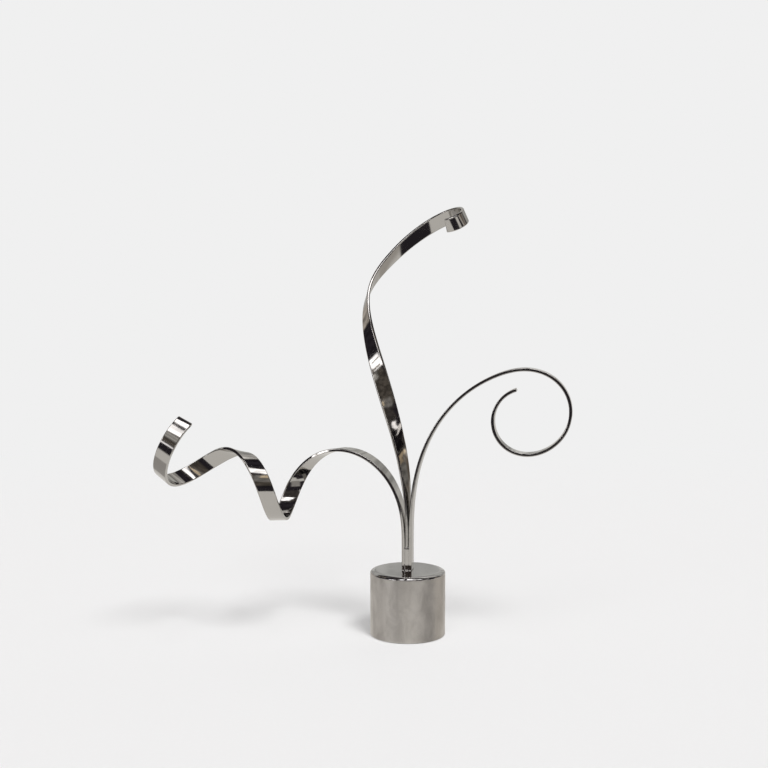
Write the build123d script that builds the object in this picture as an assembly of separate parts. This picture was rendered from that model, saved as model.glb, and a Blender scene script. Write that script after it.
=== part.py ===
from build123d import *

import os
from math import cos, degrees, pi, radians, sin

# Magnetic desk sculpture: three bright ribbons of flat bar on a heavy magnetic drum.
#
# The left and right ribbons are brazed to a foot block and make one fork, which stands on the
# drum's polished top and turns there, held by the magnets inside. The centre ribbon is loose: its
# foot drops into the slot between the other two and rests on the foot block.
#
# Frame: the origin is on the desk under the middle of the drum, +Z is up and -Y is the front.

os.makedirs("parts", exist_ok=True)

# ---------------------------------------------------------------- driving dimensions, mm and degrees
DRUM_DIAMETER = 76.2        # 3 in
DRUM_HEIGHT = 66.7          # 2 5/8 in, desk to polished top
SHELL_WALL = 1.5            # drawn brass cup, chrome plated
TOP_EDGE_RADIUS = 2.4
BOTTOM_EDGE_RADIUS = 0.3
SHADOW_GAP = 0.8            # the shell's edge hangs this far above the desk

FELT_THICKNESS = 1.6
BOTTOM_PLATE_THICKNESS = 4.0
MAGNET_DIAMETER = 72.0      # stock ferrite ring, 72 x 32 x 15
MAGNET_BORE = 32.0
MAGNET_THICKNESS = 15.0
BACKING_PLATE_THICKNESS = 5.0
CUSHION_DIAMETER = 70.0
CUSHION_THICKNESS = 1.0
BOSS_DIAMETER = 16.0
BOSS_LENGTH = 15.0

SCREW_DIAMETER = 6.0        # M6 countersunk
SCREW_HEAD_DIAMETER = 12.0
SCREW_HEAD_HEIGHT = 3.3
SCREW_HOLE_DIAMETER = 6.6
SCREW_IN_BOSS = 10.0
HEX_ACROSS_FLATS = 4.0
HEX_DEPTH = 2.0

STRIP_WIDTH = 15.875        # 5/8 in flat bar
STRIP_THICKNESS = 3.175     # 1/8 in flat bar
STRIP_EDGE_BREAK = 0.35     # the bar's corners are broken by polishing
SLOT_CLEARANCE = 0.3        # each side of the centre ribbon's foot
FOOT_BLOCK_HEIGHT = 24.0
FORK_TURN = 10.0            # the stem's broad faces are turned this far towards the front

# How each flat strip is formed, from its foot to its tip. A row is the distance along the strip,
# then the bend and the twist there in degrees per 100 mm, as an arc's radius or a coil's radius
# and pitch give them. Both change steadily from row to row.
# A strip bends only on its flat, and it twists only about its own length.


def straight():
    return 0.0, 0.0


def arc(radius, twist=0.0):
    """A bend of this radius, with a twist rate if the strip also turns about its length."""
    return degrees(100 / radius), twist


def coil(radius, pitch):
    """A strip wound round a cylinder of this radius, with this much rise in each turn."""
    rise = pitch / (2 * pi)
    spread = radius ** 2 + rise ** 2
    return degrees(100 * radius / spread), degrees(100 * rise / spread)


LEFT_FORM = [
    (0, *straight()),
    (25, *straight()),
    (60, *arc(95, -20)),
    (110, *arc(67, -12)),       # the arch over to the left
    (160, *coil(46, 95)),
    (215, *coil(22.5, 158)),    # a stretched half turn down
    (280, *coil(33, 70)),
    (345, *coil(32, 100)),      # a rounder turn up and over
    (405, *coil(19, 130)),      # a second stretched half turn
    (450, *coil(32, 71)),
    (500, *coil(40, 60)),
    (572, *arc(32, -15)),       # the tip, nearly flat
]
RIGHT_FORM = [
    (0, *straight()),
    (25, *straight()),
    (60, *arc(290)),
    (150, *arc(136)),
    (230, *arc(124)),           # the long arch
    (268, *arc(48.5)),
    (310, *arc(39.5)),          # the scroll's outer turn
    (375, *arc(45.5)),
    (415, *arc(32.5)),
    (490, *arc(33)),
]
CENTRE_FORM = [
    (0, *straight()),
    (15, *straight()),
    (50, *arc(280, -60)),
    (100, *arc(250, -40)),      # leans left while it twists
    (160, *arc(2500, -90)),
    (230, *arc(170, -70)),
    (270, *arc(67, -65)),       # the turn to the right
    (320, *arc(270, -40)),
    (370, *arc(88, -40)),
    (420, *arc(22, -10)),       # the small end curl
    (462, *arc(18.5, -120)),
]
TO_LEFT = -1
TO_RIGHT = 1
WALK_STEP = 1.0             # length of one small bend-and-twist step
RIB_SPACING = 5.0           # the strip's long edges are drawn through a section this often
RIBS_PER_FACE = 5           # and each long face is cut after this many sections

# ---------------------------------------------------------------- levels and places worked out
FELT_TOP = FELT_THICKNESS
PLATE_TOP = FELT_TOP + BOTTOM_PLATE_THICKNESS
SHELL_CEILING = DRUM_HEIGHT - SHELL_WALL
UPPER_MAGNET_TOP = SHELL_CEILING - CUSHION_THICKNESS
LOWER_MAGNET_TOP = UPPER_MAGNET_TOP - MAGNET_THICKNESS
BACKING_PLATE_TOP = LOWER_MAGNET_TOP - MAGNET_THICKNESS
BALLAST_TOP = BACKING_PLATE_TOP - BACKING_PLATE_THICKNESS
BOSS_BOTTOM = SHELL_CEILING - BOSS_LENGTH
SHELL_BORE_RADIUS = DRUM_DIAMETER / 2 - SHELL_WALL
PLATE_RADIUS = SHELL_BORE_RADIUS - 0.1

FACE_DIRECTION = Vector(cos(radians(FORK_TURN)), -sin(radians(FORK_TURN)), 0)
WIDTH_DIRECTION = Vector(sin(radians(FORK_TURN)), cos(radians(FORK_TURN)), 0)
UP = Vector(0, 0, 1)
STRIP_PITCH = STRIP_THICKNESS + SLOT_CLEARANCE
STEM_FOOT = Vector(0, 0, DRUM_HEIGHT)
SLOT_FLOOR = STEM_FOOT + UP * FOOT_BLOCK_HEIGHT


def save(node, shape):
    """Write one node's STEP file and print its volume."""
    export_step(shape, f"parts/{node}.step")
    print(f"{node:16s} {shape.volume:10.1f} mm3")


def disc(radius, low, high, hole_radius=0.0):
    """A round slice of the drum between two levels, with an optional centre hole."""
    slice_ = Pos(0, 0, low) * extrude(Circle(radius), high - low)
    if hole_radius:
        slice_ -= Pos(0, 0, low) * extrude(Circle(hole_radius), high - low)
    return slice_


# ---------------------------------------------------------------- the drum
def base_shell():
    """The chromed cup, closed at the top and open at the bottom."""
    outside = disc(DRUM_DIAMETER / 2, SHADOW_GAP, DRUM_HEIGHT)
    top_rim = outside.edges().filter_by(GeomType.CIRCLE).group_by(Axis.Z)[-1]
    outside = fillet(top_rim, TOP_EDGE_RADIUS)
    bottom_rim = outside.edges().filter_by(GeomType.CIRCLE).group_by(Axis.Z)[0]
    outside = fillet(bottom_rim, BOTTOM_EDGE_RADIUS)
    inside = disc(SHELL_BORE_RADIUS, 0, SHELL_CEILING)
    ceiling_rim = inside.edges().filter_by(GeomType.CIRCLE).group_by(Axis.Z)[-1]
    inside = fillet(ceiling_rim, TOP_EDGE_RADIUS - SHELL_WALL)
    return outside - inside


def top_boss():
    """A threaded brass post brazed under the cup's top, which the clamp screw pulls on."""
    post = disc(BOSS_DIAMETER / 2, BOSS_BOTTOM, SHELL_CEILING)
    return post - disc(SCREW_DIAMETER / 2, BOSS_BOTTOM, BOSS_BOTTOM + SCREW_IN_BOSS + 1)


def ring_magnet(top):
    """One ferrite ring with broken edges."""
    ring = disc(MAGNET_DIAMETER / 2, top - MAGNET_THICKNESS, top, MAGNET_BORE / 2)
    return chamfer(ring.edges().filter_by(GeomType.CIRCLE), 0.5)


def ballast_slug():
    """The cast-iron weight under the magnets."""
    slug = disc(MAGNET_DIAMETER / 2, PLATE_TOP, BALLAST_TOP, SCREW_HOLE_DIAMETER / 2)
    outer_edges = slug.edges().filter_by(GeomType.CIRCLE).sort_by(SortBy.RADIUS)[-2:]
    return chamfer(outer_edges, 1.0)


def screw_head():
    """The countersunk head, which the bottom plate's seat copies."""
    head = Cone(SCREW_HEAD_DIAMETER / 2, SCREW_DIAMETER / 2, SCREW_HEAD_HEIGHT)
    return Pos(0, 0, FELT_TOP + SCREW_HEAD_HEIGHT / 2) * head


def bottom_plate():
    """The steel disc that closes the cup, with a seat for the screw's head."""
    plate = disc(PLATE_RADIUS, FELT_TOP, PLATE_TOP, SCREW_HOLE_DIAMETER / 2)
    return plate - screw_head()


def clamp_screw():
    """The brass M6 screw that holds the stack up against the cup's top."""
    shank_low = FELT_TOP + SCREW_HEAD_HEIGHT
    shank = disc(SCREW_DIAMETER / 2, shank_low, BOSS_BOTTOM + SCREW_IN_BOSS)
    socket = Pos(0, 0, FELT_TOP) * extrude(
        RegularPolygon(HEX_ACROSS_FLATS / 2, 6, major_radius=False), HEX_DEPTH
    )
    return screw_head() + shank - socket


# ---------------------------------------------------------------- the ribbons
def form_at(form, distance):
    """Bend and twist rates, in degrees per mm, at a distance along the strip."""
    for (start, bend0, twist0), (end, bend1, twist1) in zip(form, form[1:]):
        if distance <= end:
            share = (distance - start) / (end - start)
            bend = bend0 + share * (bend1 - bend0)
            twist = twist0 + share * (twist1 - twist0)
            return bend / 100, twist / 100
    return form[-1][1] / 100, form[-1][2] / 100


def turned(first, second, angle):
    """Two square directions, turned in their own plane by an angle in degrees."""
    c, s = cos(radians(angle)), sin(radians(angle))
    return first * c + second * s, second * c - first * s


def walk(form, foot, lean):
    """Follow a strip from its foot: (distance, place, face direction, width direction) ribs."""
    length = form[-1][0]
    rib_count = round(length / RIB_SPACING)
    steps_per_rib = round(length / rib_count / WALK_STEP)
    step = length / (rib_count * steps_per_rib)
    place, along, face, width = foot, UP, FACE_DIRECTION, WIDTH_DIRECTION
    ribs = [(0.0, place, face, width)]
    for i in range(rib_count * steps_per_rib):
        bend, twist = form_at(form, (i + 0.5) * step)
        for half in range(2):
            along, face = turned(along, face, lean * bend * step / 2)
            face, width = turned(face, width, twist * step / 2)
            if half == 0:
                place = place + along * step
        if (i + 1) % steps_per_rib == 0:
            ribs.append(((i + 1) * step, place, face, width))
    return ribs


def section_corners():
    """The bar's cross-section, as (across its thickness, across its width) corners."""
    t, w, b = STRIP_THICKNESS / 2, STRIP_WIDTH / 2, STRIP_EDGE_BREAK
    quarter = [(t, w - b), (t - b, w)]
    half = quarter + [(-x, y) for x, y in reversed(quarter)]
    return half + [(-x, -y) for x, y in half]


def heading(line, i):
    """The direction of a long edge at one of its points."""
    return line[min(i + 1, len(line) - 1)] - line[max(i - 1, 0)]


def ribbon(form, foot, lean):
    """A flat bar bent on its flat and twisted, as one solid of short ruled faces."""
    ribs = walk(form, foot, lean)
    distances = [rib[0] for rib in ribs]
    lines = [
        [place + face * x + width * y for _, place, face, width in ribs]
        for x, y in section_corners()
    ]
    faces = [Face(Wire.make_polygon([line[end] for line in lines])) for end in (0, -1)]
    last = len(ribs) - 1
    for low in range(0, last, RIBS_PER_FACE):
        high = min(low + RIBS_PER_FACE, last)
        edges = [
            Edge.make_spline(
                line[low:high + 1],
                tangents=(heading(line, low), heading(line, high)),
                parameters=distances[low:high + 1],
            )
            for line in lines
        ]
        for edge, following in zip(edges, edges[1:] + edges[:1]):
            faces.append(Face.make_surface_from_curves(edge, following))
    solid = Solid(Shell(faces))
    nominal = form[-1][0] * Face(Wire.make_polygon([line[0] for line in lines])).area
    print(f"strip length {form[-1][0]} mm, volume over section x length {solid.volume / nominal:.4f}")
    return solid


def foot_block():
    """The filler between the two outer strips, which makes the stem solid below the slot."""
    block = extrude(
        Rectangle(STRIP_THICKNESS + 2 * SLOT_CLEARANCE, STRIP_WIDTH - 2 * STRIP_EDGE_BREAK),
        FOOT_BLOCK_HEIGHT,
    )
    return Pos(*STEM_FOOT) * Rot(0, 0, -FORK_TURN) * block


save("base_shell", base_shell())
save("top_boss", top_boss())
save("cushion_disc", disc(CUSHION_DIAMETER / 2, UPPER_MAGNET_TOP, SHELL_CEILING, MAGNET_BORE / 2))
save("magnet_upper", ring_magnet(UPPER_MAGNET_TOP))
save("magnet_lower", ring_magnet(LOWER_MAGNET_TOP))
save(
    "backing_plate",
    disc(MAGNET_DIAMETER / 2, BALLAST_TOP, BACKING_PLATE_TOP, SCREW_HOLE_DIAMETER / 2),
)
save("ballast_slug", ballast_slug())
save("bottom_plate", bottom_plate())
save("clamp_screw", clamp_screw())
save("felt_pad", disc(PLATE_RADIUS, 0, FELT_TOP))

save("foot_block", foot_block())
save("left_ribbon", ribbon(LEFT_FORM, STEM_FOOT - FACE_DIRECTION * STRIP_PITCH, TO_LEFT))
save("right_ribbon", ribbon(RIGHT_FORM, STEM_FOOT + FACE_DIRECTION * STRIP_PITCH, TO_RIGHT))
save("centre_ribbon", ribbon(CENTRE_FORM, SLOT_FLOOR, TO_LEFT))
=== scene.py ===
from math import cos, degrees, pi, radians, sin

import bpy
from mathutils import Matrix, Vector, noise


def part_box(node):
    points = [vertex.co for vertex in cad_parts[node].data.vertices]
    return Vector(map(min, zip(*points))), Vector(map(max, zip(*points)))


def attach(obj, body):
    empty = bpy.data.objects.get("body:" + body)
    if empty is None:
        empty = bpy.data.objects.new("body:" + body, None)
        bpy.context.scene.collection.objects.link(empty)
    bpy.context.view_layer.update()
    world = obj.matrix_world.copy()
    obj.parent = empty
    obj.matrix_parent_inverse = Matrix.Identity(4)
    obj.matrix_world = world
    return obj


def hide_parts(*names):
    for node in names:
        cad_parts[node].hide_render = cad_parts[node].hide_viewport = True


# The looks of a magnetic desk sculpture: three bright ribbons of flat bar on a chromed drum.
# Everything is in metres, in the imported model's frame: +Z up, the front towards -Y.

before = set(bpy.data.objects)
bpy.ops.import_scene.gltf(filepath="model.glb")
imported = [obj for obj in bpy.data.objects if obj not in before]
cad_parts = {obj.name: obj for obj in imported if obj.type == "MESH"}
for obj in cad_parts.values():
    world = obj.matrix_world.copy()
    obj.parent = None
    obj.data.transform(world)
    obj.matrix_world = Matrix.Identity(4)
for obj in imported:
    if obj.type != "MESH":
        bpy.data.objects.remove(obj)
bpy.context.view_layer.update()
MM = 0.001

# ---------------------------------------------------------------- sizes and places from the frame
DRUM_LOW, DRUM_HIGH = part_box("base_shell")
DRUM_RADIUS = (DRUM_HIGH.x - DRUM_LOW.x) / 2
DRUM_TOP = DRUM_HIGH.z
FELT_LOW, FELT_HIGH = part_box("felt_pad")
FELT_RADIUS = (FELT_HIGH.x - FELT_LOW.x) / 2
SLOT_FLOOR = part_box("foot_block")[1].z

SHELL_WALL = 1.5 * MM
TOP_EDGE_DROP = 3.0 * MM        # buffing has rolled the top's edge off, further in than down
TOP_EDGE_REACH = 6.0 * MM
BOTTOM_EDGE_RADIUS = 0.3 * MM
SHELL_CORNER = 0.9 * MM         # inside the cup
CUP_MOUTH_BREAK = 0.1 * MM
OUT_OF_ROUND = 0.05 * MM        # a drawn cup is never quite true
OUT_OF_ROUND_REACH = 0.1        # the outer share of the radius that this covers
OUT_OF_ROUND_SPREAD = 1.6       # how quickly it changes round the drum
OUT_OF_ROUND_WAVE = 30 * MM     # and up its side
DRUM_SEGMENTS = 288
TOP_ROWS = 14                   # how finely each part of the shell's section is divided
TOP_EDGE_ROWS = 24
SIDE_ROWS = 40
BOTTOM_EDGE_ROWS = 4
SHELL_CORNER_ROWS = 5
POLISHED_ZONE = 0               # the shell's two finishes
SATIN_ZONE = 1
FELT_RAGGEDNESS = 0.25 * MM     # of the cut edge
FELT_RAGGED_REACH = 0.03
FELT_RAGGED_SPREAD = 40
FELT_RAGGED_WAVE = 1 * MM
FELT_SEGMENTS = 240
FELT_ROWS = 12
FELT_EDGE_ROWS = 8

STRIP_WIDTH = 15.875 * MM       # 5/8 in flat bar
STRIP_THICKNESS = 3.175 * MM    # 1/8 in flat bar
EDGE_RADIUS = 0.68 * MM         # polishing has rounded the bar's corners
CENTRE_EDGE_RADIUS = 1.2 * MM   # and the centre strip's more, so that it slides in its slot
EDGE_SEGMENTS = 5
SLOT_CLEARANCE = 0.3 * MM
FILLER_BREAK = 0.5 * MM         # the broken edge at the slot's floor
FILLER_ROWS = 16
STRIP_PITCH = STRIP_THICKNESS + SLOT_CLEARANCE
FORK_TURN = radians(10)
FACE_DIRECTION = Vector((cos(FORK_TURN), -sin(FORK_TURN), 0))
WIDTH_DIRECTION = Vector((sin(FORK_TURN), cos(FORK_TURN), 0))
UP = Vector((0, 0, 1))
WALK_STEP = 0.5                 # mm
STEPS_PER_RIB = 3
FACE_STEP = 1.3 * MM            # the bar's broad faces are this finely divided across
SUPPORT_LOOP = 0.2 * MM         # beside each rounded corner, so that the flats shade flat

# Hand forming leaves a face out of true. Each wave has its length along and across the face, and
# its own place in the random field.
LONG_WAVE = (34 * MM, 40 * MM, 0)
SHORT_WAVE = (11 * MM, 14 * MM, 7)
DENTS = (9 * MM, 9 * MM, 3)
SHORT_WAVE_SHARE = 0.22
DENT_DEPTH = 0.22 * MM
CENTRE_DENTED = (100 * MM, 55 * MM)     # the middle and reach of the centre strip's dented length
TRUE_AT_FOOT = 20 * MM          # the waves fade out towards the foot and the tip
TRUE_AT_TIP = 8 * MM
# Each strip's end is eased: how far in from the end, and how far the section draws in there.
END_ROWS = [(0.0, 0.5 * MM), (0.15 * MM, 0.22 * MM), (0.4 * MM, 0.04 * MM)]

# How each flat strip is formed, from its foot to its tip. A row is the distance along the strip,
# then the bend and the twist there in degrees per 100 mm, as an arc's radius or a coil's radius
# and pitch give them, all in mm. Both change steadily from row to row, as in the CAD source.
# A strip bends only on its flat, and it twists only about its own length.


def straight():
    return 0.0, 0.0


def bent(radius, twist=0.0):
    """A bend of this radius, with a twist rate if the strip also turns about its length."""
    return degrees(100 / radius), twist


def coiled(radius, pitch):
    """A strip wound round a cylinder of this radius, with this much rise in each turn."""
    rise = pitch / (2 * pi)
    spread = radius ** 2 + rise ** 2
    return degrees(100 * radius / spread), degrees(100 * rise / spread)


LEFT_FORM = [
    (0, *straight()),
    (25, *straight()),
    (60, *bent(95, -20)),
    (110, *bent(67, -12)),       # the arch over to the left
    (160, *coiled(46, 95)),
    (215, *coiled(22.5, 158)),   # a stretched half turn down
    (280, *coiled(33, 70)),
    (345, *coiled(32, 100)),     # a rounder turn up and over
    (405, *coiled(19, 130)),     # a second stretched half turn
    (450, *coiled(32, 71)),
    (500, *coiled(40, 60)),
    (572, *bent(32, -15)),       # the tip, nearly flat
]
RIGHT_FORM = [
    (0, *straight()),
    (25, *straight()),
    (60, *bent(290)),
    (150, *bent(136)),
    (230, *bent(124)),           # the long arch
    (268, *bent(48.5)),
    (310, *bent(39.5)),          # the scroll's outer turn
    (375, *bent(45.5)),
    (415, *bent(32.5)),
    (490, *bent(33)),
]
CENTRE_FORM = [
    (0, *straight()),
    (15, *straight()),
    (50, *bent(280, -60)),
    (100, *bent(250, -40)),      # leans left while it twists
    (160, *bent(2500, -90)),
    (230, *bent(170, -70)),
    (270, *bent(67, -65)),       # the turn to the right
    (320, *bent(270, -40)),
    (370, *bent(88, -40)),
    (420, *bent(22, -10)),       # the small end curl
    (462, *bent(18.5, -120)),
]
TO_LEFT = -1
TO_RIGHT = 1


# ---------------------------------------------------------------- node helpers
def feed(tree, socket, value):
    """Link a socket to another node's output, or set it to a plain value."""
    if isinstance(value, bpy.types.NodeSocket):
        tree.links.new(value, socket)
    else:
        socket.default_value = value


class Nodes:
    """A short way to build one node tree."""

    def __init__(self, tree):
        self.tree = tree

    def add(self, kind, inputs=None, **settings):
        node = self.tree.nodes.new(kind)
        for name, value in settings.items():
            setattr(node, name, value)
        for name, value in (inputs or {}).items():
            feed(self.tree, node.inputs[name], value)
        return node

    def math(self, operation, first, second=0.0):
        return self.add("ShaderNodeMath", {0: first, 1: second}, operation=operation).outputs[0]

    def ramp(self, value, low, high, to_low=0.0, to_high=1.0):
        """A smooth step of a value from one range to another."""
        names = {"Value": value, "From Min": low, "From Max": high, "To Min": to_low, "To Max": to_high}
        return self.add("ShaderNodeMapRange", names, interpolation_type="SMOOTHSTEP").outputs["Result"]

    def mix(self, share, first, second):
        names = {"Factor": share, "A": first, "B": second}
        node = self.tree.nodes.new("ShaderNodeMix")
        node.data_type = "RGBA"
        for socket in node.inputs:
            if socket.enabled and socket.name in names:
                feed(self.tree, socket, names[socket.name])
        return next(s for s in node.outputs if s.enabled)

    def stretched(self, coordinates, scale):
        """A coordinate stretched by a different amount on each axis."""
        return self.add("ShaderNodeMapping", {"Vector": coordinates, "Scale": scale}).outputs[0]

    def noise(self, vector, scale, detail=3.0, roughness=0.5, distortion=0.0):
        names = {
            "Vector": vector,
            "Scale": scale,
            "Detail": detail,
            "Roughness": roughness,
            "Distortion": distortion,
        }
        return self.add("ShaderNodeTexNoise", names).outputs["Fac"]

    def bump(self, height, strength, distance, normal=None):
        names = {"Height": height, "Strength": strength, "Distance": distance}
        if normal is not None:
            names["Normal"] = normal
        return self.add("ShaderNodeBump", names).outputs["Normal"]


def grey(value):
    return (value, value, value, 1.0)


def new_material(name):
    """An empty node material: (material, its nodes, its shader, its coordinates)."""
    material = bpy.data.materials.new(name)
    material.use_nodes = True
    nodes = Nodes(material.node_tree)
    shader = material.node_tree.nodes["Principled BSDF"]
    coordinates = nodes.add("ShaderNodeTexCoord")
    return material, nodes, shader, coordinates


def connect(nodes, shader, **sockets):
    """Link or set the shader's sockets, named with underscores for spaces."""
    for name, value in sockets.items():
        feed(nodes.tree, shader.inputs[name.replace("_", " ")], value)


# ---------------------------------------------------------------- materials
def ribbon_chrome():
    """Bright polished bar: fine polishing lines along it, soft ripples, a few smudges."""
    material, nodes, shader, coordinates = new_material("ribbon_chrome")
    along = coordinates.outputs["UV"]
    place = coordinates.outputs["Object"]
    lines = nodes.noise(nodes.stretched(along, (60, 9000, 1)), 1.0, detail=4.0, roughness=0.6)
    ripples = nodes.noise(nodes.stretched(along, (110, 60, 1)), 1.0, detail=1.5, roughness=0.4)
    smudges = nodes.ramp(nodes.noise(place, 55, detail=4.0, roughness=0.6, distortion=0.6), 0.52, 0.75)
    tint = nodes.noise(place, 30, detail=2.0)
    roughness = nodes.math("ADD", nodes.ramp(lines, 0.3, 0.8, 0.06, 0.11),
                           nodes.math("MULTIPLY", smudges, 0.05))
    colour = nodes.mix(tint, (0.425, 0.412, 0.392, 1), (0.465, 0.450, 0.430, 1))
    normal = nodes.bump(ripples, 0.35, 0.10 * MM)
    normal = nodes.bump(lines, 0.12, 0.004 * MM, normal)
    connect(nodes, shader, Metallic=1.0, Base_Color=colour, Roughness=roughness, Normal=normal)
    return material


def drum_top_chrome():
    """The drum's polished top and rim."""
    material, nodes, shader, coordinates = new_material("drum_top_chrome")
    place = coordinates.outputs["Object"]
    waves = nodes.noise(place, 70, detail=2.0)
    specks = nodes.ramp(nodes.noise(place, 900, detail=2.0), 0.62, 0.72)
    tint = nodes.noise(place, 40, detail=3.0)
    colour = nodes.mix(tint, (0.470, 0.466, 0.455, 1), (0.520, 0.510, 0.500, 1))
    roughness = nodes.math("ADD", nodes.ramp(waves, 0.3, 0.7, 0.05, 0.09),
                           nodes.math("MULTIPLY", specks, 0.10))
    normal = nodes.bump(waves, 0.25, 0.05 * MM)
    connect(nodes, shader, Metallic=1.0, Base_Color=colour, Roughness=roughness, Normal=normal)
    return material


def drum_side_chrome():
    """The drum's softer side: faint upright streaks, blotches and small pits."""
    material, nodes, shader, coordinates = new_material("drum_side_chrome")
    place = coordinates.outputs["Object"]
    streaks = nodes.noise(nodes.stretched(place, (1, 1, 0.06)), 420, detail=4.0, roughness=0.65)
    upright = nodes.stretched(place, (1, 1, 0.55))
    blotches = nodes.noise(upright, 62, detail=5.0, roughness=0.62, distortion=0.5)
    pits = nodes.ramp(nodes.noise(place, 1500, detail=3.0, roughness=0.6), 0.66, 0.76)
    clouding = nodes.ramp(blotches, 0.34, 0.66)
    colour = nodes.mix(clouding, (0.550, 0.525, 0.495, 1), (0.675, 0.647, 0.614, 1))
    colour = nodes.mix(pits, colour, (0.250, 0.235, 0.220, 1))
    roughness = nodes.math("ADD", nodes.ramp(streaks, 0.3, 0.7, 0.33, 0.42),
                           nodes.ramp(blotches, 0.35, 0.65, 0.06, -0.02))
    normal = nodes.bump(streaks, 0.30, 0.02 * MM)
    normal = nodes.bump(blotches, 0.20, 0.12 * MM, normal)
    normal = nodes.bump(pits, -0.5, 0.03 * MM, normal)
    connect(nodes, shader, Metallic=1.0, Base_Color=colour, Roughness=roughness, Normal=normal)
    return material


def wool_felt():
    """Pressed wool felt: matted fibres in dark grey-green."""
    material, nodes, shader, coordinates = new_material("wool_felt")
    place = coordinates.outputs["Object"]
    fibres = nodes.noise(place, 1400, detail=6.0, roughness=0.75, distortion=1.2)
    tufts = nodes.noise(place, 220, detail=3.0)
    colour = nodes.mix(fibres, (0.018, 0.022, 0.019, 1), (0.085, 0.095, 0.085, 1))
    colour = nodes.mix(nodes.math("MULTIPLY", tufts, 0.4), colour, (0.05, 0.05, 0.045, 1))
    normal = nodes.bump(fibres, 0.8, 0.25 * MM)
    connect(nodes, shader, Base_Color=colour, Roughness=0.95, Sheen_Weight=0.35, Normal=normal)
    return material


def turned_brass():
    """Plain turned brass with fine tool rings."""
    material, nodes, shader, coordinates = new_material("turned_brass")
    place = coordinates.outputs["Object"]
    rings = nodes.noise(nodes.stretched(place, (0.3, 0.3, 1)), 5200, detail=2.0)
    tarnish = nodes.noise(place, 160, detail=4.0, roughness=0.6)
    colour = nodes.mix(tarnish, (0.70, 0.48, 0.20, 1), (0.83, 0.64, 0.33, 1))
    normal = nodes.bump(rings, 0.4, 0.02 * MM)
    roughness = nodes.ramp(tarnish, 0.3, 0.7, 0.22, 0.38)
    connect(nodes, shader, Metallic=1.0, Base_Color=colour, Roughness=roughness, Normal=normal)
    return material


def ground_ferrite():
    """Charcoal ferrite with a fine grain and pale dust in its pores."""
    material, nodes, shader, coordinates = new_material("ground_ferrite")
    place = coordinates.outputs["Object"]
    grain = nodes.noise(place, 2600, detail=4.0, roughness=0.7)
    pores = nodes.ramp(nodes.noise(place, 900, detail=2.0), 0.62, 0.70)
    colour = nodes.mix(grain, (0.030, 0.030, 0.033, 1), (0.075, 0.075, 0.080, 1))
    colour = nodes.mix(nodes.math("MULTIPLY", pores, 0.5), colour, (0.13, 0.13, 0.13, 1))
    normal = nodes.bump(grain, 0.5, 0.03 * MM)
    roughness = nodes.ramp(grain, 0.2, 0.8, 0.55, 0.8)
    connect(nodes, shader, Base_Color=colour, Roughness=roughness, Normal=normal)
    return material


def ground_steel():
    """Mild steel plate, surface ground one way, with a trace of oil staining."""
    material, nodes, shader, coordinates = new_material("ground_steel")
    place = coordinates.outputs["Object"]
    lay = nodes.noise(nodes.stretched(place, (0.02, 1, 1)), 3200, detail=3.0, roughness=0.6)
    stains = nodes.noise(place, 75, detail=5.0, roughness=0.6, distortion=0.8)
    colour = nodes.mix(nodes.ramp(stains, 0.4, 0.7), (0.50, 0.50, 0.51, 1), (0.36, 0.34, 0.31, 1))
    normal = nodes.bump(lay, 0.5, 0.01 * MM)
    roughness = nodes.ramp(lay, 0.3, 0.7, 0.3, 0.45)
    connect(nodes, shader, Metallic=1.0, Base_Color=colour, Roughness=roughness, Normal=normal)
    return material


def cast_iron():
    """Grey cast iron with a sandy skin."""
    material, nodes, shader, coordinates = new_material("cast_iron")
    place = coordinates.outputs["Object"]
    sand = nodes.noise(place, 1100, detail=5.0, roughness=0.7)
    rust = nodes.ramp(nodes.noise(place, 120, detail=5.0, roughness=0.65, distortion=0.5), 0.58, 0.75)
    colour = nodes.mix(sand, (0.10, 0.10, 0.105, 1), (0.20, 0.195, 0.19, 1))
    colour = nodes.mix(nodes.math("MULTIPLY", rust, 0.6), colour, (0.16, 0.075, 0.035, 1))
    normal = nodes.bump(sand, 0.8, 0.12 * MM)
    connect(nodes, shader, Metallic=0.6, Base_Color=colour, Roughness=0.62, Normal=normal)
    return material


def cushion_rubber():
    """Thin black rubber sheet with talc in its grain."""
    material, nodes, shader, coordinates = new_material("cushion_rubber")
    place = coordinates.outputs["Object"]
    grain = nodes.noise(place, 1800, detail=4.0, roughness=0.65)
    colour = nodes.mix(grain, (0.012, 0.012, 0.012, 1), (0.045, 0.045, 0.043, 1))
    normal = nodes.bump(grain, 0.5, 0.03 * MM)
    roughness = nodes.ramp(grain, 0.3, 0.7, 0.6, 0.85)
    connect(nodes, shader, Base_Color=colour, Roughness=roughness, Normal=normal)
    return material


# ---------------------------------------------------------------- mesh helpers
def new_piece(name, points, faces, materials, texture_places=None, material_rows=None):
    """A smooth-shaded mesh object. texture_places gives each point's (u, v) in metres."""
    mesh = bpy.data.meshes.new(name)
    mesh.from_pydata(points, [], faces)
    mesh.shade_smooth()
    for material in materials:
        mesh.materials.append(material)
    if material_rows:
        mesh.polygons.foreach_set("material_index", material_rows)
    if texture_places:
        layer = mesh.uv_layers.new(name="surface")
        for loop in mesh.loops:
            layer.data[loop.index].uv = texture_places[loop.vertex_index]
    mesh.validate()
    mesh.update()
    piece = bpy.data.objects.new(name, mesh)
    bpy.context.scene.collection.objects.link(piece)
    return piece


def tube_faces(ring_size, ring_count):
    """The quads that join closed rings of points one after another, and a face over each end."""
    point_count = ring_size * ring_count
    faces = []
    for ring in range(ring_count - 1):
        for i in range(ring_size):
            j = (i + 1) % ring_size
            low, high = ring * ring_size, (ring + 1) * ring_size
            faces.append((low + i, low + j, high + j, high + i))
    faces.append(tuple(reversed(range(ring_size))))
    faces.append(tuple(range(point_count - ring_size, point_count)))
    return faces


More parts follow.
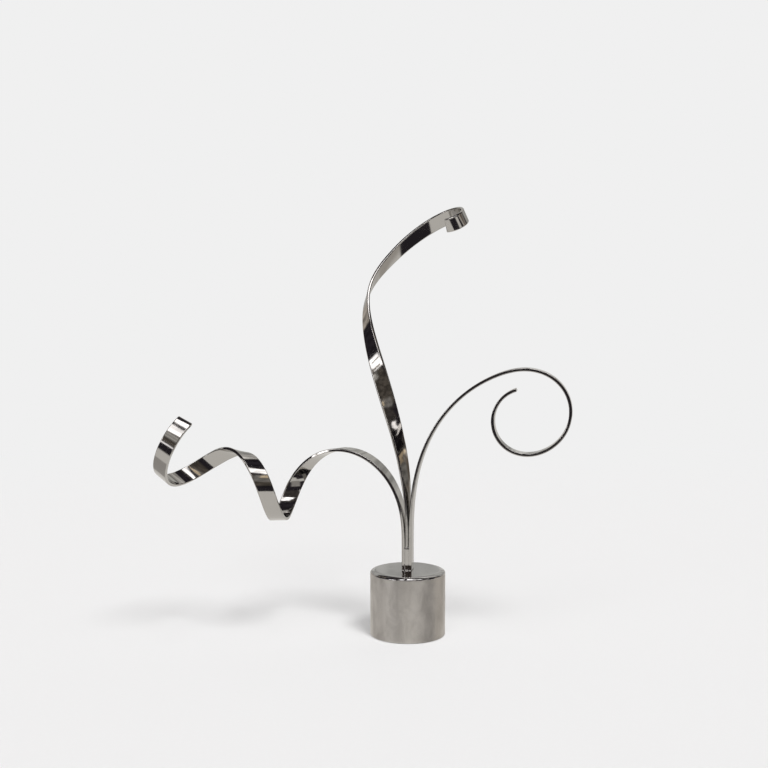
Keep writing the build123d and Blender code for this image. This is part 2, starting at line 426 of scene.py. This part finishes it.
def hand_over(piece, body, node):
    """The piece rides on a body and stands for a CAD node."""
    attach(piece, body)
    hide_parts(node)


# ---------------------------------------------------------------- the ribbons
def form_at(form, distance):
    """Bend and twist rates, in degrees per mm, at a distance along the strip."""
    for (start, bend0, twist0), (end, bend1, twist1) in zip(form, form[1:]):
        if distance <= end:
            share = (distance - start) / (end - start)
            bend = bend0 + share * (bend1 - bend0)
            twist = twist0 + share * (twist1 - twist0)
            return bend / 100, twist / 100
    return form[-1][1] / 100, form[-1][2] / 100


def turned(first, second, angle):
    """Two square directions, turned in their own plane by an angle in degrees."""
    c, s = cos(radians(angle)), sin(radians(angle))
    return first * c + second * s, second * c - first * s


def walk(form, foot, lean):
    """Follow a strip from its foot: (distance in metres, place, along, face, width) ribs."""
    length = form[-1][0]
    rib_count = round(length / WALK_STEP / STEPS_PER_RIB)
    step = length / (rib_count * STEPS_PER_RIB)
    place, along, face, width = foot.copy(), UP.copy(), FACE_DIRECTION.copy(), WIDTH_DIRECTION.copy()
    ribs = [(0.0, place, along, face, width)]
    for i in range(rib_count * STEPS_PER_RIB):
        bend, twist = form_at(form, (i + 0.5) * step)
        for half in range(2):       # half the turn, the step forward, then the other half
            along, face = turned(along, face, lean * bend * step / 2)
            face, width = turned(face, width, twist * step / 2)
            if half == 0:
                place = place + along * step * MM
        if (i + 1) % STEPS_PER_RIB == 0:
            ribs.append(((i + 1) * step * MM, place, along, face, width))
    return ribs


def divided(first, last):
    """Points along a straight side, close to its ends and then evenly, without the ends."""
    length = (last - first).length
    loops = [SUPPORT_LOOP / length, 1 - SUPPORT_LOOP / length]
    count = max(1, round(length / FACE_STEP))
    shares = [loops[0] + (loops[1] - loops[0]) * k / count for k in range(count + 1)]
    return [first.lerp(last, share) for share in shares]


def bar_section(corner, inset=0.0):
    """The bar's rounded section as (across its thickness, across its width) points."""
    half_thickness = STRIP_THICKNESS / 2 - corner
    half_width = STRIP_WIDTH / 2 - corner
    radius = corner - inset
    arcs = []
    for side_x, side_y, start in ((1, 1, 0), (-1, 1, 90), (-1, -1, 180), (1, -1, 270)):
        centre = Vector((side_x * half_thickness, side_y * half_width))
        angles = [radians(start + 90 * k / EDGE_SEGMENTS) for k in range(EDGE_SEGMENTS + 1)]
        arcs.append([centre + Vector((cos(a), sin(a))) * radius for a in angles])
    outline = []
    for arc, following in zip(arcs, arcs[1:] + arcs[:1]):
        outline += arc + divided(arc[-1], following[0])
    return outline


def wave_at(wave, distance, across, seed):
    """One smooth random wave over a face, from about -1 to 1."""
    along_length, across_length, offset = wave
    return noise.noise(Vector((distance / along_length, across / across_length, seed + offset)))


def out_of_true(distance, across, seed, depth, dented):
    """How far a strip's face stands in or out, most of all over its dented length if it has one."""
    long_wave = wave_at(LONG_WAVE, distance, across, seed)
    short_wave = wave_at(SHORT_WAVE, distance, across, seed)
    error = depth * (long_wave + SHORT_WAVE_SHARE * short_wave)
    if dented:
        middle, reach = dented
        share = max(0.0, 1 - ((distance - middle) / reach) ** 2)
        error += DENT_DEPTH * share * wave_at(DENTS, distance, across, seed)
    return error


def strip_rings(ribs):
    """The sections along a strip, with its eased ends: (distance, inset, place, face, width)."""
    length = ribs[-1][0]
    rings = []
    _, place, along, face, width = ribs[0]
    for distance, inset in END_ROWS:
        rings.append((distance, inset, place + along * distance, face, width))
    for distance, place, _, face, width in ribs[1:-1]:
        rings.append((distance, 0.0, place, face, width))
    _, place, along, face, width = ribs[-1]
    for distance, inset in reversed(END_ROWS):
        rings.append((length - distance, inset, place - along * distance, face, width))
    return rings


def ribbon(name, form, foot, lean, material, seed, depth, corner=EDGE_RADIUS, dented=None):
    """One strip of flat bar, bent and twisted along its form, with rounded edges and ends."""
    ribs = walk(form, foot, lean)
    rings = strip_rings(ribs)
    length = ribs[-1][0]
    full = bar_section(corner)
    lengths = [(b - a).length for a, b in zip(full, full[1:] + full[:1])]
    round_section = [sum(lengths[:i]) for i in range(len(full))]
    points, texture_places = [], []
    for distance, inset, place, face, width in rings:
        fade = min(1.0, distance / TRUE_AT_FOOT, (length - distance) / TRUE_AT_TIP)
        for point, walked in zip(bar_section(corner, inset), round_section):
            error = fade * out_of_true(distance, point.y, seed, depth, dented)
            points.append(place + face * (point.x + error) + width * point.y)
            texture_places.append((distance, walked))
    faces = tube_faces(len(full), len(rings))
    return new_piece(name, points, faces, [material], texture_places)


def build_ribbons(material):
    stem_foot = Vector((0, 0, DRUM_TOP))
    slot_floor = Vector((0, 0, SLOT_FLOOR))
    left = ribbon("left_strip", LEFT_FORM, stem_foot - FACE_DIRECTION * STRIP_PITCH, TO_LEFT,
                  material, seed=3.1, depth=0.05 * MM)
    right = ribbon("right_strip", RIGHT_FORM, stem_foot + FACE_DIRECTION * STRIP_PITCH, TO_RIGHT,
                   material, seed=11.7, depth=0.03 * MM)
    centre = ribbon("centre_strip", CENTRE_FORM, slot_floor, TO_LEFT,
                    material, seed=21.3, depth=0.09 * MM, corner=CENTRE_EDGE_RADIUS, dented=CENTRE_DENTED)
    hand_over(left, "fork", "left_ribbon")
    hand_over(right, "fork", "right_ribbon")
    hand_over(centre, "centre", "centre_ribbon")


def build_foot_filler(material):
    """The brazed and polished filler of the stem, flush with the two outer strips."""
    half_gap = STRIP_THICKNESS / 2 + SLOT_CLEARANCE
    half_width = STRIP_WIDTH / 2
    shoulder = half_width - EDGE_RADIUS
    flush = half_gap + EDGE_RADIUS
    outline = []
    for side in (1, -1):
        side_points = [(half_gap, shoulder), (flush, half_width)]
        side_points += [(flush * share, half_width) for share in (0.6, 0.2, -0.2, -0.6)]
        side_points += [(-flush, half_width), (-half_gap, shoulder)]
        outline += [(side * x, side * y) for x, y in side_points]
    high = SLOT_FLOOR - FILLER_BREAK
    levels = [DRUM_TOP + (high - DRUM_TOP) * k / FILLER_ROWS for k in range(FILLER_ROWS + 1)]
    levels.append(SLOT_FLOOR)
    points, texture_places = [], []
    for level in levels:
        pull_in = FILLER_BREAK if level == SLOT_FLOOR else 0.0
        for index, (x, y) in enumerate(outline):
            y -= pull_in * (1 if y > 0 else -1)
            points.append(FACE_DIRECTION * x + WIDTH_DIRECTION * y + UP * level)
            texture_places.append((level, index * FACE_STEP))
    faces = tube_faces(len(outline), len(levels))
    piece = new_piece("stem_filler", points, faces, [material], texture_places)
    hand_over(piece, "fork", "foot_block")


# ---------------------------------------------------------------- the drum
def arc(centre_r, centre_z, radius, start, end, count):
    """Points of a profile arc, angles in degrees from the +r direction."""
    angles = [radians(start + (end - start) * k / count) for k in range(count + 1)]
    return [(centre_r + radius * cos(a), centre_z + radius * sin(a)) for a in angles]


def drum_profile():
    """The shell's section from the middle of the top, out, down and back inside: (r, z, zone)."""
    top, low = DRUM_TOP, DRUM_LOW.z
    flat_end = DRUM_RADIUS - TOP_EDGE_REACH
    polished = [(flat_end * k / TOP_ROWS, top) for k in range(1, TOP_ROWS)]
    quarter = [radians(90 - 90 * k / TOP_EDGE_ROWS) for k in range(TOP_EDGE_ROWS + 1)]
    side_low = low + BOTTOM_EDGE_RADIUS
    side_high = top - TOP_EDGE_DROP
    polished += [
        (flat_end + TOP_EDGE_REACH * cos(a), side_high + TOP_EDGE_DROP * sin(a)) for a in quarter
    ]
    side = side_low - side_high
    satin = [(DRUM_RADIUS, side_high + side * k / SIDE_ROWS) for k in range(1, SIDE_ROWS)]
    satin += arc(DRUM_RADIUS - BOTTOM_EDGE_RADIUS, side_low, BOTTOM_EDGE_RADIUS, 0, -90, BOTTOM_EDGE_ROWS)
    bore = DRUM_RADIUS - SHELL_WALL
    ceiling = top - SHELL_WALL
    corner = SHELL_CORNER
    inside = [(bore + CUP_MOUTH_BREAK, low), (bore, low + CUP_MOUTH_BREAK)]
    inside.append((bore, ceiling - corner - SUPPORT_LOOP))
    inside += arc(bore - corner, ceiling - corner, corner, 0, 90, SHELL_CORNER_ROWS)
    inside += [(bore * share, ceiling) for share in (0.75, 0.5, 0.25)]
    rows = [(r, z, POLISHED_ZONE) for r, z in polished[:-1]]
    rows += [(r, z, SATIN_ZONE) for r, z in polished[-1:] + satin + inside]
    return rows


def revolved(profile, segments, top_centre, bottom_centre, radial=None):
    """Points and faces of a closed profile turned about the Z axis; the middles are one point each."""
    points, faces, zones = [], [], []
    for r, z, _ in profile:
        for k in range(segments):
            angle = 2 * pi * k / segments
            reach = r + (radial(angle, r, z) if radial else 0.0)
            points.append((reach * cos(angle), reach * sin(angle), z))
    for row in range(len(profile) - 1):
        for k in range(segments):
            following = (k + 1) % segments
            low, high = row * segments, (row + 1) * segments
            faces.append((low + k, high + k, high + following, low + following))
            zones.append(profile[row][2])
    for level, row, flip in ((top_centre, 0, False), (bottom_centre, len(profile) - 1, True)):
        middle = len(points)
        points.append((0, 0, level))
        for k in range(segments):
            a, b = row * segments + k, row * segments + (k + 1) % segments
            faces.append((middle, b, a) if flip else (middle, a, b))
            zones.append(profile[row][2])
    return points, faces, zones


def outer_share(r, radius, reach):
    """0 inside the outermost part of a disc, rising to 1 at its edge. reach is that part's share."""
    return max(0.0, (r - (1 - reach) * radius) / (reach * radius))


def round_wave(angle, z, spread, length):
    """A smooth random wave round and up a disc's side, from about 0 to 1."""
    return 0.5 + 0.5 * noise.noise(Vector((cos(angle) * spread, sin(angle) * spread, z / length)))


def out_of_round(angle, r, z):
    """How far the drum's side is in from a true circle, by a few hundredths of a millimetre."""
    wave = round_wave(angle, z, OUT_OF_ROUND_SPREAD, OUT_OF_ROUND_WAVE)
    return -OUT_OF_ROUND * outer_share(r, DRUM_RADIUS, OUT_OF_ROUND_REACH) * wave


def build_drum(polished, satin):
    points, faces, zones = revolved(drum_profile(), DRUM_SEGMENTS, DRUM_TOP, DRUM_TOP - SHELL_WALL,
                                    out_of_round)
    piece = new_piece("drum_shell", points, faces, [polished, satin], None, zones)
    hand_over(piece, "base", "base_shell")


def felt_edge(angle, r, z):
    """The felt's cut edge is soft and a little ragged."""
    wave = round_wave(angle, z, FELT_RAGGED_SPREAD, FELT_RAGGED_WAVE)
    return -FELT_RAGGEDNESS * outer_share(r, FELT_RADIUS, FELT_RAGGED_REACH) * wave


def build_felt(material):
    low, high = FELT_LOW.z, FELT_HIGH.z
    half = (high - low) / 2
    radii = [FELT_RADIUS * k / FELT_ROWS for k in range(1, FELT_ROWS)]
    profile = [(r, high) for r in radii]
    profile += arc(FELT_RADIUS - half, low + half, half, 90, -90, FELT_EDGE_ROWS)
    profile += [(r, low) for r in reversed(radii)]
    profile = [(r, z, 0) for r, z in profile]       # all one finish
    points, faces, _ = revolved(profile, FELT_SEGMENTS, high, low, felt_edge)
    piece = new_piece("felt_disc", points, faces, [material])
    hand_over(piece, "base", "felt_pad")


# ---------------------------------------------------------------- the stage
PAPER_GREY = 0.871              # floor and backdrop, as the camera sees them
FLOOR_GLOW = 0.309              # what the floor gives by itself; the lamp and the room add the rest
FLOOR_ALBEDO = 0.50
FLOOR_GRAIN = 0.015             # how much its tone varies
FLOOR_NEAR = 0.6                # the floor runs out into the backdrop between these distances
FLOOR_FAR = 1.6
FLOOR_HALF_SIZE = 12.0


def build_floor():
    """A plain pale floor that takes the soft shadows and runs out into the backdrop."""
    material, nodes, shader, _ = new_material("pale_floor")
    place = nodes.add("ShaderNodeNewGeometry").outputs["Position"]
    distance = nodes.add("ShaderNodeVectorMath", {0: place}, operation="LENGTH").outputs["Value"]
    far = nodes.ramp(distance, FLOOR_NEAR, FLOOR_FAR)
    grain = nodes.noise(place, 260, detail=3.0)
    glow = nodes.mix(far, grey(FLOOR_GLOW), grey(PAPER_GREY))
    darker = grey(FLOOR_ALBEDO * (1 - FLOOR_GRAIN))
    lighter = grey(FLOOR_ALBEDO * (1 + FLOOR_GRAIN))
    near_colour = nodes.mix(grain, darker, lighter)
    colour = nodes.mix(far, near_colour, grey(0.0))
    connect(nodes, shader, Base_Color=colour, Roughness=0.9, Specular_IOR_Level=0.0,
            Emission_Color=glow, Emission_Strength=1.0)
    size = FLOOR_HALF_SIZE
    corners = [(-size, -size, 0), (size, -size, 0), (size, size, 0), (-size, size, 0)]
    floor = new_piece("pale_floor", corners, [(0, 1, 2, 3)], [material])
    floor.visible_glossy = False


DARK = (0.030, 0.026, 0.032)
DUSK = (0.115, 0.100, 0.085)
TABLE = (0.880, 0.860, 0.825)
WALL = (0.640, 0.620, 0.590)
GREY_WALL = (0.530, 0.525, 0.505)
BROWN = (0.520, 0.470, 0.420)
WHITE = (3.200, 3.150, 3.200)
CREAM = (1.100, 0.900, 0.640)

# The room that the metal mirrors, one patch over another: each patch's middle azimuth (0 towards
# the front, + to the right) and elevation, its half width, half height and softness, all in
# degrees, and its colour.
ROOM = [
    ((0, -90), (180, 74), 3, TABLE),            # the table
    ((0, -14), (180, 3.5), 1.5, TABLE),
    ((52, -3), (6, 9), 3, (0.420, 0.400, 0.380)),   # a grey thing standing on it
    ((-38, -4), (11, 12), 3, DARK),             # and a dark one
    ((180, -2), (52, 12), 5, WALL),             # the wall behind
    ((180, 20), (56, 14), 6, GREY_WALL),
    ((112, -8), (22, 14), 5, (0.560, 0.530, 0.490)),    # a chest on the right, and its dark top
    ((112, 1), (15, 4), 3, (0.170, 0.140, 0.115)),
    ((-133, 3), (17, 7), 4, BROWN),             # something brown, behind left
    ((152, 50), (32, 10), 5, (0.620, 0.600, 0.580)),    # a light part of the ceiling
    ((75, -31), (18, 10), 4, DARK),             # dark places past the table, front right
    ((51, -36), (15, 8), 3, DARK),
    ((-102, -32), (28, 13), 4, (0.500, 0.480, 0.460)),  # a greyer part of the table, left
    ((-4, 23), (34, 12), 5, DUSK),              # dim furniture in front
    ((55, 42), (16, 20), 5, (0.070, 0.062, 0.058)),
    ((28, 32), (5, 8), 5, (0.300, 0.285, 0.270)),
    ((27, 38), (3, 3), 2, CREAM),
    ((52, 19), (10, 2), 2, DARK),
    ((65, 22.5), (4, 1.6), 2, (1.600, 1.550, 1.550)),
    ((-29, 29), (3, 6), 5, WALL),               # the windows, front left
    ((-24, 52), (8, 11), 4, WHITE),
    ((-49, 13), (9, 7), 4, WHITE),
    ((-53, 12), (0.8, 6), 1.5, WALL),
    ((-41, 16), (1.0, 8), 1.5, BROWN),
    ((46, 55), (13, 5), 3, WHITE),              # the windows, front right
    ((13, 66), (17, 18), 3, WHITE),
    ((95, 10), (2, 3), 2, CREAM),               # small lamps
    ((-125, 45), (3, 6), 4, CREAM),
    ((150, 57), (12, 2), 3, (1.000, 0.980, 0.950)),
]
CLUTTER_DIM = 0.55              # above the table the room is uneven: its tones vary between these shares
CLUTTER_BRIGHT = 1.35
CLUTTER_LEVEL = 6.0             # degrees above the horizon where that has fully set in


def build_room():
    """The world: the room by direction in the metal, and a plain backdrop for the camera."""
    world = bpy.data.worlds.new("studio")
    world.use_nodes = True
    bpy.context.scene.world = world
    nodes = Nodes(world.node_tree)
    direction = nodes.add("ShaderNodeTexCoord").outputs["Generated"]
    x, y, z = nodes.add("ShaderNodeSeparateXYZ", {0: direction}).outputs
    elevation = nodes.math("MULTIPLY", nodes.math("ARCSINE", z), degrees(1))
    backwards = nodes.math("MULTIPLY", y, -1.0)
    azimuth = nodes.math("MULTIPLY", nodes.math("ARCTAN2", x, backwards), degrees(1))
    colour = (*DARK, 1)
    for (middle_az, middle_el), (half_az, half_el), softness, patch in ROOM:
        turn = nodes.math("ABSOLUTE", nodes.math("SUBTRACT", azimuth, middle_az))
        turn = nodes.math("MINIMUM", turn, nodes.math("ABSOLUTE", nodes.math("SUBTRACT", 360.0, turn)))
        rise = nodes.math("ABSOLUTE", nodes.math("SUBTRACT", elevation, middle_el))
        across = nodes.ramp(turn, half_az, half_az + softness, 1.0, 0.0)
        upward = nodes.ramp(rise, half_el, half_el + softness, 1.0, 0.0)
        colour = nodes.mix(nodes.math("MULTIPLY", across, upward), colour, (*patch, 1))
    unevenness = nodes.noise(direction, 9.0, detail=5.0, roughness=0.65, distortion=0.4)
    clutter = nodes.ramp(unevenness, 0.36, 0.62, CLUTTER_DIM, CLUTTER_BRIGHT)
    above = nodes.ramp(elevation, 0.0, CLUTTER_LEVEL)
    clutter = nodes.math("ADD", 1.0, nodes.math("MULTIPLY", above, nodes.math("SUBTRACT", clutter, 1.0)))
    scaled = {0: colour, "Scale": clutter}
    colour = nodes.add("ShaderNodeVectorMath", scaled, operation="SCALE").outputs[0]
    backdrop = nodes.add("ShaderNodeLightPath").outputs["Is Camera Ray"]
    colour = nodes.mix(backdrop, colour, grey(PAPER_GREY))
    background = world.node_tree.nodes["Background"]
    world.node_tree.links.new(colour, background.inputs["Color"])


LAMP_AZIMUTH = radians(27)      # to the right of the front
LAMP_ELEVATION = radians(54)
LAMP_SPREAD = radians(20)
LAMP_POWER = 2.6


def build_lights():
    """One soft lamp, high in front on the right, lays the faint shadows on the floor."""
    lamp = bpy.data.lights.new("soft_lamp", "SUN")
    lamp.energy = LAMP_POWER
    lamp.angle = LAMP_SPREAD
    holder = bpy.data.objects.new("soft_lamp", lamp)
    towards = Vector((
        sin(LAMP_AZIMUTH) * cos(LAMP_ELEVATION),
        -cos(LAMP_AZIMUTH) * cos(LAMP_ELEVATION),
        sin(LAMP_ELEVATION),
    ))
    holder.location = towards
    holder.rotation_euler = towards.to_track_quat("Z", "Y").to_euler()
    holder.visible_glossy = False
    bpy.context.scene.collection.objects.link(holder)


CAMERA_LENS = 56.25
SENSOR_WIDTH = 36
CAMERA_PLACE = (-24.1 * MM, -1.202, 0.3452)
CAMERA_PITCH = radians(4.27)    # downwards
CLIP_START = 0.05
CLIP_END = 60


def build_camera():
    data = bpy.data.cameras.new("camera")
    data.lens = CAMERA_LENS
    data.sensor_width = SENSOR_WIDTH
    data.clip_start = CLIP_START
    data.clip_end = CLIP_END
    camera = bpy.data.objects.new("camera", data)
    camera.location = CAMERA_PLACE
    camera.rotation_euler = (pi / 2 - CAMERA_PITCH, 0, 0)
    bpy.context.scene.collection.objects.link(camera)
    bpy.context.scene.camera = camera


def dress_cad_nodes():
    """The inner pieces keep their CAD shapes and get their own finishes."""
    finishes = {
        turned_brass(): ("top_boss", "clamp_screw"),
        ground_ferrite(): ("magnet_upper", "magnet_lower"),
        ground_steel(): ("backing_plate", "bottom_plate"),
        cast_iron(): ("ballast_slug",),
        cushion_rubber(): ("cushion_disc",),
    }
    for material, names in finishes.items():
        for name in names:
            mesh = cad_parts[name].data
            if not mesh.materials:
                mesh.materials.append(material)
            for index in range(len(mesh.materials)):
                mesh.materials[index] = material


bpy.context.scene.view_settings.view_transform = "Standard"
build_camera()
strip_metal = ribbon_chrome()
build_ribbons(strip_metal)
build_foot_filler(strip_metal)
build_drum(drum_top_chrome(), drum_side_chrome())
build_felt(wool_felt())
dress_cad_nodes()
build_floor()
build_room()
build_lights()
